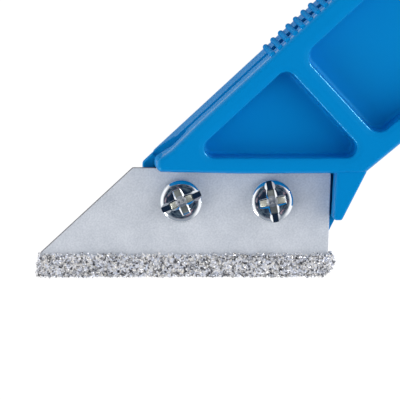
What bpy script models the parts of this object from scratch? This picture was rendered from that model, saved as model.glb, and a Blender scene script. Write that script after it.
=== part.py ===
"""Grout rake: a one-piece moulded handle with a carbide-grit blade screwed to its tongue.

The tool lies on its side. X runs along the grip towards the butt, Y across the grip and Z through
its thickness. The origin is on the lower flange, in the middle of the first cross rib.
Lengths are metres and angles are radians.
"""
import math
import random

import bmesh
import bpy
from mathutils import Matrix, Vector

# Gaps that the whole tool shares
CLEARANCE = 0.0003
OVERRUN = 0.002

# Handle: the flanged body
THICKNESS = 0.016
SPLIT_HEIGHT = 0.0092
GRIP_ANGLE = math.radians(42.9)
GRIP_WIDTH = 0.0249
HEEL_AHEAD = 0.00426
HEEL_REACH = 0.02258
NOSE_REACH = 0.0120
NOSE_HEIGHT = 0.0024
NOSE_FOOT_RISE = 0.0003
NOSE_SLOPE = math.radians(30.5)
NOSE_ROUND = 0.0010
NOSE_DIP = 0.0002
NOSE_DIP_RUN = 0.006
NOSE_BLEND = 0.008
FAR_NOSE_SETBACK = 0.0004
HEEL_ROUND = 0.0015
FLANGE_ROUND = 0.0007
BELLY_REACH = 0.050
BELLY_DEPTH = 0.0031
BELLY_BLEND = 0.400
WAIST_SETBACK = 0.0385
WAIST_DEPTH = 0.0006
WAIST_BLEND = 0.120
BUTT_REACH = 0.1465
HOOK_SETBACK = 0.0065
HOOK_DEPTH = 0.0060
HOOK_ROUND = 0.0055
BUTT_TURN_DROP = 0.0060
BUTT_TURN_ROUND = 0.015
CREST_SETBACK = 0.0235
CREST_RISE = 0.0026
CREST_ROUND = 0.0065
CREST_BLEND = 0.120

# Handle: the pockets, with the web left between them
WEB = 0.0024
RIB_WIDTH = 0.0034
NOSE_RIM = 0.0031
TOP_RIM = 0.00355
LOWER_RIM = 0.00315
BUTT_RIM = 0.0035
BASE_BAR = 0.0026
NOSE_POCKET_ROUND = 0.0017
GRIP_POCKET_ROUND = 0.0023
BUTT_POCKET_ROUND = 0.0035
GRIP_POCKET_COUNT = 3
RIM_ROUND = 0.0005
FLOOR_ROUND = 0.0008
DRAFT = math.radians(2.0)

# Handle: the eye that the tool hangs by
EYE_SETBACK = 0.0145
EYE_DROP = 0.0012
EYE_RADIUS = 0.0045
EYE_WALL = 0.0030
EYE_ROOM = 0.0036

# Handle: the groove, the scoop and the ribbed thumb pad on the top edge
GROOVE_WIDTH = 0.0020
GROOVE_DEPTH = 0.0008
GROOVE_FLOOR = 0.0010
GROOVE_END_SETBACK = 0.004
SCOOP_HALF_LENGTH = 0.0036
SCOOP_HALF_WIDTH = 0.0048
SCOOP_DEPTH = 0.0008
SCOOP_AHEAD = 0.0006
RIDGE_COUNT = 24
RIDGE_AHEAD = 0.0019
RIDGE_PITCH = 0.00172
RIDGE_RADIUS = 0.00051
RIDGE_HEIGHT = 0.00045
RIDGE_INSET = 0.00065
RIDGE_CHAMFER = 0.00025

# Handle: the tongue behind the blade and the heel that the blade stops against
TONGUE_THICKNESS = 0.0028
TONGUE_PROUD = 0.00175
TONGUE_SLOPE = math.radians(42.0)
TONGUE_DROP = 0.0116
TONGUE_INSET = 0.0003
TONGUE_NOSE_HEIGHT = 0.0013
TONGUE_ROOT = 0.0020
TONGUE_ROUND = 0.0007
TONGUE_FOOT_ROUND = 0.0015
HEEL_DROP = 0.0079
HEEL_STOP_REACH = 0.0181
HEEL_FOOT_WIDTH = 0.0014
HEEL_LEAN = math.radians(2.8)
HEEL_SLOPE = math.radians(26.7)
HEEL_TIP_ROUND = 0.0005
HEEL_STEP = 0.00045
HEEL_EDGE = 0.0003
HEEL_ROOT = 0.0010

# Blade
BLADE_THICKNESS = 0.0015
BLADE_HEIGHT = 0.01735
BLADE_RISE = 0.00045
BLADE_TOP_AHEAD = 0.0037
BLADE_TIP_AHEAD = 0.0190
BLADE_TIP_RISE = 0.0031
BLADE_TIP_LEAN = math.radians(8.0)
BLADE_BACK_LEAN = math.radians(1.5)
BLADE_CORNER = 0.0004
BLADE_TOE = 0.0012

# Carbide grit, brazed over the blade's edge
GRIT_HEIGHT = 0.0038
GRIT_COAT = 0.00055
GRIT_FOOT = 0.0007
GRIT_END = 0.0004
GRIT_TOE = 0.0006
GRIT_TAIL = 0.0009
GRIT_LUMP = 0.0007
GRIT_CUTBACK = 0.0009
GRIT_PITCH = 0.00055
GRIT_ROUGHNESS = 0.00014
GRIT_RAGGEDNESS = 0.00035
GRIT_SIDE_ROWS = 5
GRIT_SEED = 7

# Screws, with a slot and a cross in a pan head
SCREW_SPACING = 0.0153
SCREW_DROP = 0.0050
SCREW_RADIUS = 0.00175
SCREW_LENGTH = 0.008
SCREW_POINT = 0.0004
HEAD_RADIUS = 0.00355
HEAD_HEIGHT = 0.0024
HEAD_SIDE = 0.0011
HEAD_EDGE = 0.0003
SLOT_WIDTH = 0.0011
SLOT_DEPTH = 0.0011
CROSS_ARM = 0.0022
CROSS_WIDTH = 0.0012
CROSS_DEPTH = 0.0015
CROSS_CORE_RADIUS = 0.00085
FRONT_SLOT_TURN = math.radians(24.0)
REAR_SLOT_TURN = math.radians(101.0)

# Nuts, held in hexagonal seats behind the tongue
NUT_FLATS = 0.006
NUT_HEIGHT = 0.0028
NUT_CHAMFER = 0.0003
NUT_BED = 0.0022
BOSS_WALL = 0.0010
BOSS_HEIGHT = 0.0022
BOSS_EDGE = 0.0004

# Fineness of the round shapes
FACET_DEPTH = 0.00003
FILLET_STEPS = 2
FILLET_WALL_SHARE = 0.98
SCREW_SIDES = 32
HOLE_SIDES = 24
EYE_SIDES = 32
RIDGE_SIDES = 10
SCOOP_SEGMENTS = 20
DOME_STEPS = 5
MERGE_REACH = 0.000001
SMOOTH_ANGLE = math.radians(35.0)

# Heights that follow from the sizes above
NEAR_FLOOR = SPLIT_HEIGHT + WEB / 2
FAR_FLOOR = SPLIT_HEIGHT - WEB / 2
BLADE_BACK = SPLIT_HEIGHT + CLEARANCE / 2
BLADE_FACE = BLADE_BACK + BLADE_THICKNESS
TONGUE_FACE = BLADE_BACK - CLEARANCE
TONGUE_BACK = TONGUE_FACE - TONGUE_THICKNESS
HEAD_SEAT = BLADE_FACE + CLEARANCE
SCREW_END = HEAD_SEAT - SCREW_LENGTH
NUT_FLOOR = TONGUE_FACE - NUT_BED
BOSS_TOP = TONGUE_BACK - BOSS_HEIGHT
HOLE_RADIUS = SCREW_RADIUS + CLEARANCE

# Places across and along the grip that follow from the sizes above
TOP = GRIP_WIDTH / 2
HEEL = Vector((-HEEL_AHEAD, -TOP))
EYE_REACH = BUTT_REACH - EYE_SETBACK
GRIP_POCKETS_REACH = EYE_REACH - EYE_RADIUS - EYE_WALL - EYE_ROOM - RIB_WIDTH
HEEL_FOOT_REACH = HEEL_STOP_REACH - HEEL_DROP * math.tan(HEEL_LEAN)
HEEL_FOOT_END = HEEL_FOOT_REACH + HEEL_FOOT_WIDTH
HEEL_BACK_REACH = HEEL_FOOT_END + HEEL_DROP * math.tan(HEEL_SLOPE)
BLADE_FOOT = BLADE_RISE - BLADE_HEIGHT
GRIT_BASE = BLADE_FOOT - CLEARANCE - GRIT_FOOT
GRIT_RIM = GRIT_BASE + GRIT_HEIGHT


def clear_scene():
    for item in list(bpy.data.objects):
        bpy.data.objects.remove(item, do_unlink=True)


def linear(channel):
    if channel <= 0.04045:
        return channel / 12.92
    return ((channel + 0.055) / 1.055) ** 2.4


def plain_material(name, hex_colour, roughness, metallic):
    """A surface finish with one sRGB colour."""
    finish = bpy.data.materials.new(name)
    finish.use_nodes = True
    shader = finish.node_tree.nodes["Principled BSDF"]
    rgb = [int(hex_colour[i:i + 2], 16) / 255 for i in (0, 2, 4)]
    shader.inputs["Base Color"].default_value = [linear(c) for c in rgb] + [1.0]
    shader.inputs["Roughness"].default_value = roughness
    shader.inputs["Metallic"].default_value = metallic
    return finish


def from_blade_axes(along, above):
    """A point given along the blade from the screws' middle and above the base, on the grip's axes."""
    turn = Matrix.Rotation(-GRIP_ANGLE, 2)
    return HEEL + turn @ Vector((along - HEEL_REACH, above))


def crossing(point_a, angle_a, point_b, angle_b):
    """Where the line through point_a at angle_a meets the line through point_b at angle_b."""
    way_a = Vector((math.cos(angle_a), math.sin(angle_a)))
    way_b = Vector((math.cos(angle_b), math.sin(angle_b)))
    apart = point_b - point_a
    reach = (apart.x * way_b.y - apart.y * way_b.x) / (way_a.x * way_b.y - way_a.y * way_b.x)
    return point_a + way_a * reach


def grown(corners, distance):
    """The same rounded outline with each side moved outwards by a distance."""
    result = []
    for i, (point, radius) in enumerate(corners):
        before = (point - corners[i - 1][0]).normalized()
        after = (corners[(i + 1) % len(corners)][0] - point).normalized()
        out_before = Vector((before.y, -before.x))
        out_after = Vector((after.y, -after.x))
        shift = (out_before + out_after) / (1 + out_before.dot(out_after))
        result.append((point + shift * distance, radius + distance))
    return result


def corner_turn(corners, i):
    """The ways into and out of a corner, and the angle between them."""
    before = (corners[i][0] - corners[i - 1][0]).normalized()
    after = (corners[(i + 1) % len(corners)][0] - corners[i][0]).normalized()
    return before, after, math.atan2(before.x * after.y - before.y * after.x, before.dot(after))


def rounded(corners):
    """Points of a closed outline, anticlockwise, with an arc at each corner, limited by its walls."""
    turns = [corner_turn(corners, i) for i in range(len(corners))]
    tangents = [corner[1] * math.tan(abs(turn[2]) / 2) for corner, turn in zip(corners, turns)]
    rooms = []
    for i, (point, _) in enumerate(corners):
        wall = (point - corners[i - 1][0]).length * FILLET_WALL_SHARE
        rooms.append(wall / (tangents[i] + tangents[i - 1]))
    points = []
    for i, (point, radius) in enumerate(corners):
        before, after, turn = turns[i]
        share = min(1, rooms[i], rooms[(i + 1) % len(corners)])
        radius = radius * share
        tangent = tangents[i] * share
        step = 2 * math.acos(1 - min(FACET_DEPTH / radius, 0.5))
        count = max(2, math.ceil(abs(turn) / step))
        side = math.copysign(1.0, turn)
        start = point - before * tangent
        centre = start + Vector((-before.y, before.x)) * radius * side
        for k in range(count + 1):
            arm = Matrix.Rotation(turn * k / count, 2) @ (start - centre)
            points.append(centre + arm)
    return points


def smooth_steps(radius, steps, mouth):
    """How far in and how far on each step of a quarter round goes, at a mouth or at a floor."""
    result = []
    for k in range(steps):
        first = math.pi / 2 * k / steps
        second = math.pi / 2 * (k + 1) / steps
        long_way = radius * (math.sin(second) - math.sin(first))
        short_way = radius * (math.cos(first) - math.cos(second))
        result.append((long_way, short_way) if mouth else (short_way, long_way))
    return result


def prism(mesh, points, low, high, low_steps=(), high_steps=()):
    """A solid between two heights, whose ends then narrow by the given steps."""
    low_edge = low + sum(on for _, on in low_steps)
    high_edge = high - sum(on for _, on in high_steps)
    base = mesh.faces.new([mesh.verts.new((p.x, p.y, low_edge)) for p in points])
    raised = bmesh.ops.extrude_face_region(mesh, geom=[base])["geom"]
    lifted = [item for item in raised if isinstance(item, bmesh.types.BMVert)]
    top = next(item for item in raised if isinstance(item, bmesh.types.BMFace))
    bmesh.ops.translate(mesh, verts=lifted, vec=(0, 0, high_edge - low_edge))
    walls = [face for edge in base.edges for face in edge.link_faces]
    bmesh.ops.recalc_face_normals(mesh, faces=list({base, top, *walls}))
    for face, steps in ((base, low_steps), (top, high_steps)):
        for inwards, onwards in steps:
            bmesh.ops.inset_region(mesh, faces=[face], thickness=inwards, depth=onwards,
                                   use_even_offset=True, use_boundary=True)


def new_object(name, mesh, finish=None, smooth=True):
    """An object from a mesh under construction, with its finish."""
    data = bpy.data.meshes.new(name)
    mesh.to_mesh(data)
    mesh.free()
    if smooth:
        data.shade_smooth()
        data.set_sharp_from_angle(angle=SMOOTH_ANGLE)
    item = bpy.data.objects.new(name, data)
    bpy.context.collection.objects.link(item)
    if finish:
        data.materials.append(finish)
    return item


def guide(name, mesh):
    """A shape that only cuts or joins another."""
    item = new_object(name, mesh)
    item.hide_render = True
    item.display_type = "WIRE"
    return item


def combine(item, other, operation):
    step = item.modifiers.new(other.name, "BOOLEAN")
    step.operation = operation
    step.solver = "EXACT"
    step.object = other


def nose_shoulder():
    """The shallow dip where the nose's slope meets the grip's top edge."""
    nose_top = from_blade_axes(-NOSE_REACH, NOSE_HEIGHT)
    return crossing(nose_top, NOSE_SLOPE - GRIP_ANGLE, Vector((0, TOP - NOSE_DIP)), 0)


def lower_corners():
    """The corners of the grip's lower edge, from the heel to the hook at the butt."""
    return [
        (HEEL, HEEL_ROUND),
        (Vector((BELLY_REACH, -TOP - BELLY_DEPTH)), BELLY_BLEND),
        (Vector((BUTT_REACH - WAIST_SETBACK, -TOP - WAIST_DEPTH)), WAIST_BLEND),
        (Vector((BUTT_REACH - HOOK_SETBACK, -TOP - HOOK_DEPTH)), HOOK_ROUND),
    ]


def lower_edge(reach):
    """The height of the grip's lower edge at a distance along the grip."""
    corners = [point for point, _ in lower_corners()]
    for first, second in zip(corners, corners[1:]):
        if reach <= second.x:
            break
    share = (reach - first.x) / (second.x - first.x)
    return first.y + (second.y - first.y) * share


def near_nose():
    """The near half's nose, from the grip's top edge through the dip to the base."""
    dip = nose_shoulder()
    return [
        (Vector((dip.x + NOSE_DIP_RUN, TOP)), NOSE_BLEND),
        (dip, NOSE_BLEND),
        (from_blade_axes(-NOSE_REACH, NOSE_HEIGHT), NOSE_ROUND),
        (from_blade_axes(-NOSE_REACH, NOSE_FOOT_RISE), NOSE_ROUND),
    ]


def far_nose():
    """The far half's nose, where the straight top edge ends a little further back."""
    foot = from_blade_axes(FAR_NOSE_SETBACK - NOSE_REACH, NOSE_FOOT_RISE)
    return [
        (crossing(foot, math.pi / 2 - GRIP_ANGLE, Vector((0, TOP)), 0), NOSE_ROUND),
        (foot, NOSE_ROUND),
    ]


def body_outline(nose_corners):
    """The flanges' outline, from the heel round the butt and back along the top to the nose."""
    back_corners = [
        (Vector((BUTT_REACH, -BUTT_TURN_DROP)), BUTT_TURN_ROUND),
        (Vector((BUTT_REACH, TOP + CREST_RISE)), CREST_ROUND),
        (Vector((BUTT_REACH - CREST_SETBACK, TOP)), CREST_BLEND),
    ]
    return lower_corners() + back_corners + nose_corners


def nose_pocket():
    """The triangle between the base bar, the top rim and the first cross rib."""
    bar_top = from_blade_axes(0, BASE_BAR)
    under_rim = Vector((0, TOP - NOSE_RIM))
    at_rib = Vector((-RIB_WIDTH / 2, 0))
    upright = math.pi / 2
    corners = [
        crossing(bar_top, -GRIP_ANGLE, at_rib, upright),
        crossing(under_rim, 0, at_rib, upright),
        crossing(under_rim, 0, bar_top, -GRIP_ANGLE),
    ]
    return [(corner, NOSE_POCKET_ROUND) for corner in corners]


def grip_pocket(start, end):
    """A pocket of the grip between two cross ribs."""
    return [
        (Vector((start, lower_edge(start) + LOWER_RIM)), GRIP_POCKET_ROUND),
        (Vector((end, lower_edge(end) + LOWER_RIM)), GRIP_POCKET_ROUND),
        (Vector((end, TOP - TOP_RIM)), GRIP_POCKET_ROUND),
        (Vector((start, TOP - TOP_RIM)), GRIP_POCKET_ROUND),
    ]


def butt_pocket():
    """The pocket round the eye, which follows the outline of the butt."""
    start = GRIP_POCKETS_REACH + RIB_WIDTH
    end = BUTT_REACH - BUTT_RIM
    hook = BUTT_REACH - HOOK_SETBACK - BUTT_RIM / 2
    return [
        (Vector((start, lower_edge(start) + LOWER_RIM)), GRIP_POCKET_ROUND),
        (Vector((hook, lower_edge(hook) + BUTT_RIM)), BUTT_POCKET_ROUND),
        (Vector((end, -BUTT_TURN_DROP + BUTT_RIM / 2)), BUTT_POCKET_ROUND),
        (Vector((end, TOP + CREST_RISE - TOP_RIM)), BUTT_POCKET_ROUND),
        (Vector((start, TOP - TOP_RIM)), GRIP_POCKET_ROUND),
    ]


def pocket_outlines():
    """Each pocket's corners, where its walls meet the flange."""
    start = RIB_WIDTH / 2
    run = GRIP_POCKETS_REACH - start
    length = (run - RIB_WIDTH * (GRIP_POCKET_COUNT - 1)) / GRIP_POCKET_COUNT
    pockets = [nose_pocket()]
    for i in range(GRIP_POCKET_COUNT):
        left = start + i * (length + RIB_WIDTH)
        pockets.append(grip_pocket(left, left + length))
    pockets.append(butt_pocket())
    return pockets


def pocket_steps(depth):
    """How a pocket narrows from its rounded rim down its drafted wall to its rounded floor."""
    wall = depth - RIM_ROUND - FLOOR_ROUND
    steps = smooth_steps(RIM_ROUND, FILLET_STEPS, mouth=True)
    steps.append((wall * math.tan(DRAFT), wall))
    return steps + smooth_steps(FLOOR_ROUND, FILLET_STEPS, mouth=False)


def pocket_cutters():
    """The pockets of both sides, with rounded rims, drafted walls and rounded floors."""
    mesh = bmesh.new()
    for corners in pocket_outlines():
        points = rounded(grown(corners, RIM_ROUND))
        near_steps = pocket_steps(THICKNESS - NEAR_FLOOR)
        prism(mesh, points, NEAR_FLOOR, THICKNESS + OVERRUN, low_steps=near_steps)
        prism(mesh, points, -OVERRUN, FAR_FLOOR, high_steps=pocket_steps(FAR_FLOOR))
    return guide("pocket_cutters", mesh)


def half_shape(nose_corners, low, high):
    """The near or the far half of the body before it is hollowed, rounded where it is a flange."""
    rounding = smooth_steps(FLANGE_ROUND, FILLET_STEPS, mouth=False)
    low_steps = rounding if low < SPLIT_HEIGHT else ()
    high_steps = rounding if high > SPLIT_HEIGHT else ()
    mesh = bmesh.new()
    prism(mesh, rounded(body_outline(nose_corners)), low, high, low_steps, high_steps)
    return mesh


def tongue_shape():
    """The plate that the blade lies on, which reaches past the nose and down behind the blade."""
    front = -NOSE_REACH - TONGUE_PROUD
    rear = HEEL_BACK_REACH - TONGUE_INSET / math.cos(HEEL_SLOPE)
    rear_foot = rear - TONGUE_DROP * math.tan(HEEL_SLOPE)
    rear_root = rear + TONGUE_ROOT * math.tan(HEEL_SLOPE)
    shoulder = (TONGUE_PROUD + TONGUE_ROOT) * math.tan(TONGUE_SLOPE) + TONGUE_NOSE_HEIGHT
    outline = [
        (from_blade_axes(front, -TONGUE_DROP), TONGUE_FOOT_ROUND),
        (from_blade_axes(rear_foot, -TONGUE_DROP), TONGUE_FOOT_ROUND),
        (from_blade_axes(rear_root, TONGUE_ROOT), TONGUE_ROUND),
        (from_blade_axes(-NOSE_REACH + TONGUE_ROOT, shoulder - CLEARANCE), TONGUE_ROUND),
        (from_blade_axes(front, TONGUE_NOSE_HEIGHT), TONGUE_ROUND),
    ]
    mesh = bmesh.new()
    prism(mesh, rounded(outline), TONGUE_BACK, TONGUE_FACE)
    return mesh


def heel_shape():
    """The stop behind the blade, a little below the flanges' faces."""
    slope = math.tan(HEEL_SLOPE)
    lean = math.tan(HEEL_LEAN)
    front_turn = math.pi / 2 - HEEL_LEAN
    rear_turn = math.pi / 2 + HEEL_SLOPE
    room = HEEL_FOOT_WIDTH / (math.tan(front_turn / 2) + math.tan(rear_turn / 2))
    tip_round = min(HEEL_TIP_ROUND, room)
    edge = min(HEEL_EDGE, tip_round / 2)
    outline = [
        (from_blade_axes(HEEL_FOOT_REACH, -HEEL_DROP), tip_round),
        (from_blade_axes(HEEL_FOOT_END, -HEEL_DROP), tip_round),
        (from_blade_axes(HEEL_BACK_REACH + HEEL_ROOT * slope, HEEL_ROOT), HEEL_EDGE * 2),
        (from_blade_axes(HEEL_STOP_REACH + HEEL_ROOT * lean, HEEL_ROOT), HEEL_EDGE * 2),
    ]
    rounding = smooth_steps(edge, FILLET_STEPS, mouth=False)
    mesh = bmesh.new()
    prism(mesh, rounded(outline), HEEL_STEP, THICKNESS - HEEL_STEP, rounding, rounding)
    return mesh


def blade_back(above):
    """How far the blade's back edge reaches at a height: it clears the foot of the heel."""
    return HEEL_FOOT_REACH - CLEARANCE + (above + HEEL_DROP) * math.tan(BLADE_BACK_LEAN)


def rebate_shape():
    """The shallow rebate behind the near flange that takes the blade's top edge."""
    front = -NOSE_REACH - OVERRUN
    back = blade_back(BLADE_RISE) + CLEARANCE
    ceiling = BLADE_RISE + CLEARANCE
    outline = [
        from_blade_axes(front, -OVERRUN),
        from_blade_axes(back, -OVERRUN),
        from_blade_axes(back, ceiling),
        from_blade_axes(front, ceiling),
    ]
    mesh = bmesh.new()
    prism(mesh, outline, TONGUE_FACE, BLADE_FACE + CLEARANCE)
    return mesh


def screw_places():
    """The front and the rear screw's axis, on the blade's axes."""
    return [(-SCREW_SPACING / 2, -SCREW_DROP), (SCREW_SPACING / 2, -SCREW_DROP)]


def cylinder(mesh, centre, radius, low, high, sides):
    place = Matrix.Translation((centre[0], centre[1], (low + high) / 2))
    return bmesh.ops.create_cone(mesh, cap_ends=True, segments=sides, radius1=radius,
                                 radius2=radius, depth=high - low, matrix=place)["verts"]


def end_edges(mesh):
    """The edges round the flat ends of upright cylinders."""
    return [edge for edge in mesh.edges if abs(edge.verts[0].co.z - edge.verts[1].co.z) < CLEARANCE]


def boss_shape():
    """The round walls that hold the nuts behind the tongue."""
    mesh = bmesh.new()
    corner_radius = (NUT_FLATS / 2 + CLEARANCE) / math.cos(math.pi / 6)
    for along, above in screw_places():
        centre = from_blade_axes(along, above)
        cylinder(mesh, centre, corner_radius + BOSS_WALL, BOSS_TOP, TONGUE_FACE - CLEARANCE,
                 HOLE_SIDES)
    low = [edge for edge in mesh.edges if max(v.co.z for v in edge.verts) < TONGUE_BACK]
    bmesh.ops.bevel(mesh, geom=low, offset=BOSS_EDGE, segments=FILLET_STEPS, profile=0.5,
                    affect="EDGES", material=-1)
    return mesh


def nut_seat_shape():
    """The hexagonal seats, open to the back."""
    mesh = bmesh.new()
    corner_radius = (NUT_FLATS / 2 + CLEARANCE) / math.cos(math.pi / 6)
    for along, above in screw_places():
        centre = from_blade_axes(along, above)
        verts = cylinder(mesh, centre, corner_radius, BOSS_TOP - OVERRUN, NUT_FLOOR, 6)
        bmesh.ops.rotate(mesh, verts=verts, cent=centre.to_3d(),
                         matrix=Matrix.Rotation(-GRIP_ANGLE, 3, "Z"))
    return mesh


def hole_shape():
    """The two screw holes and the eye's bore."""
    mesh = bmesh.new()
    for along, above in screw_places():
        centre = from_blade_axes(along, above)
        cylinder(mesh, centre, HOLE_RADIUS, TONGUE_BACK - OVERRUN, TONGUE_FACE + OVERRUN, HOLE_SIDES)
    cylinder(mesh, (EYE_REACH, -EYE_DROP), EYE_RADIUS, -OVERRUN, THICKNESS + OVERRUN, EYE_SIDES)
    return mesh


def eye_shape():
    """The wall round the eye, which stands in the butt's pockets."""
    mesh = bmesh.new()
    step = FLANGE_ROUND / 2
    cylinder(mesh, (EYE_REACH, -EYE_DROP), EYE_RADIUS + EYE_WALL, step, THICKNESS - step, EYE_SIDES)
    return mesh


def groove_shape():
    """The tapered groove along the middle of the top edge."""
    start = from_blade_axes(-NOSE_REACH, NOSE_HEIGHT).x
    end = BUTT_REACH - CREST_SETBACK - GROOVE_END_SETBACK
    half_mouth = GROOVE_WIDTH / 2
    half_floor = GROOVE_FLOOR / 2
    spread = (half_mouth - half_floor) / GROOVE_DEPTH * OVERRUN
    section = [
        (TOP - GROOVE_DEPTH, SPLIT_HEIGHT - half_floor),
        (TOP + OVERRUN, SPLIT_HEIGHT - half_mouth - spread),
        (TOP + OVERRUN, SPLIT_HEIGHT + half_mouth + spread),
        (TOP - GROOVE_DEPTH, SPLIT_HEIGHT + half_floor),
    ]
    mesh = bmesh.new()
    face = mesh.faces.new([mesh.verts.new((start, y, z)) for y, z in section])
    swept = bmesh.ops.extrude_face_region(mesh, geom=[face])["geom"]
    moved = [item for item in swept if isinstance(item, bmesh.types.BMVert)]
    bmesh.ops.translate(mesh, verts=moved, vec=(end - start, 0, 0))
    bmesh.ops.recalc_face_normals(mesh, faces=mesh.faces)
    return mesh


def scoop_shape():
    """The leaf-shaped hollow beside the groove, in the near half's nose."""
    mesh = bmesh.new()
    centre = Vector((nose_shoulder().x + SCOOP_AHEAD, TOP, SPLIT_HEIGHT))
    size = Matrix.Diagonal((SCOOP_HALF_LENGTH, SCOOP_DEPTH, SCOOP_HALF_WIDTH, 1))
    bmesh.ops.create_uvsphere(mesh, u_segments=SCOOP_SEGMENTS, v_segments=SCOOP_SEGMENTS // 2,
                              radius=1, matrix=Matrix.Translation(centre) @ size)
    return mesh


def ridge_shape():
    """The rounded bars of the thumb pad, across the top edge."""
    mesh = bmesh.new()
    height = TOP + RIDGE_HEIGHT - RIDGE_RADIUS
    for i in range(RIDGE_COUNT):
        centre = (i * RIDGE_PITCH - RIDGE_AHEAD, height)
        cylinder(mesh, centre, RIDGE_RADIUS, RIDGE_INSET, THICKNESS - RIDGE_INSET, RIDGE_SIDES)
    bmesh.ops.bevel(mesh, geom=end_edges(mesh), offset=RIDGE_CHAMFER, segments=1, profile=0.5,
                    affect="EDGES", material=-1)
    return mesh


def make_handle():
    """The one-piece handle: flanges, web, ribs, tongue, heel, nut seats, eye and thumb pad."""
    finish = plain_material("moulded_blue_plastic", "0182CB", 0.42, 0.0)
    handle = new_object("handle", half_shape(near_nose(), SPLIT_HEIGHT, THICKNESS), finish)
    combine(handle, guide("scoop", scoop_shape()), "DIFFERENCE")
    combine(handle, guide("far_half", half_shape(far_nose(), 0, SPLIT_HEIGHT)), "UNION")
    combine(handle, guide("tongue", tongue_shape()), "UNION")
    combine(handle, guide("heel", heel_shape()), "UNION")
    combine(handle, guide("nut_bosses", boss_shape()), "UNION")
    combine(handle, guide("rebate", rebate_shape()), "DIFFERENCE")
    combine(handle, pocket_cutters(), "DIFFERENCE")
    combine(handle, guide("eye_wall", eye_shape()), "UNION")
    combine(handle, guide("groove", groove_shape()), "DIFFERENCE")
    combine(handle, guide("ridges", ridge_shape()), "UNION")
    combine(handle, guide("holes", hole_shape()), "DIFFERENCE")
    combine(handle, guide("nut_seats", nut_seat_shape()), "DIFFERENCE")


def blade_axes():
    """An empty on the blade's axes, below the middle of the base bar."""
    empty = bpy.data.objects.new("blade_axes", None)
    bpy.context.collection.objects.link(empty)
    empty.location = from_blade_axes(0, 0).to_3d()
    empty.rotation_euler = (0, 0, -GRIP_ANGLE)
    return empty


def blade_tip():
    """Where the blade's raked front meets its blunt tip, on the blade's axes."""
    return Vector((-NOSE_REACH - BLADE_TIP_AHEAD, BLADE_FOOT + BLADE_TIP_RISE))


def tip_front(above):
    """How far forward the blunt tip reaches at a height."""
    tip = blade_tip()
    return tip.x - (tip.y - above) * math.tan(BLADE_TIP_LEAN)


def blade_corners():
    """The blade's outline: its foot, its back, its top edge, its raked front and its blunt tip."""
    return [
        (Vector((tip_front(BLADE_FOOT), BLADE_FOOT)), BLADE_TOE),
        (Vector((blade_back(BLADE_FOOT), BLADE_FOOT)), BLADE_CORNER),
        (Vector((blade_back(BLADE_RISE), BLADE_RISE)), BLADE_CORNER),
        (Vector((-NOSE_REACH - BLADE_TOP_AHEAD, BLADE_RISE)), BLADE_CORNER),
        (blade_tip(), BLADE_CORNER),
    ]


def make_blade(axes):
    """The stamped steel plate, whose top edge sits in the rebate and whose back meets the heel."""
    mesh = bmesh.new()
    prism(mesh, rounded(blade_corners()), BLADE_BACK, BLADE_FACE)
    finish = plain_material("blasted_steel", "BEC3CC", 0.5, 0.9)
    blade = new_object("blade", mesh, finish, smooth=False)
    blade.parent = axes
    drill = bmesh.new()
    for place in screw_places():
        cylinder(drill, place, HOLE_RADIUS, BLADE_BACK - OVERRUN, BLADE_FACE + OVERRUN, HOLE_SIDES)
    cutter = guide("blade_holes", drill)
    cutter.parent = axes
    combine(blade, cutter, "DIFFERENCE")


def grit_section():
    """The band's section before the blade is cut out of it, across the blade and up from its foot."""
    low = BLADE_BACK - CLEARANCE - GRIT_COAT
    high = BLADE_FACE + CLEARANCE + GRIT_COAT
    rows = [GRIT_BASE + GRIT_HEIGHT * k / (GRIT_SIDE_ROWS - 1) for k in range(GRIT_SIDE_ROWS)]
    near_side = [(high, y) for y in rows]
    far_side = [(low, y) for y in reversed(rows)]
    return near_side + far_side + [((low + high) / 2, GRIT_BASE)]


def grit_ends(level):
    """How far the band's front and back ends are moved at a share of its height."""
    above = GRIT_BASE + GRIT_HEIGHT * level
    front = tip_front(above) - tip_front(GRIT_RIM) + GRIT_TOE * (1 - level) ** 2
    back = GRIT_LUMP * math.sin(math.pi * level) - GRIT_CUTBACK * (1 - level) ** 2
    return front, back


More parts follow.
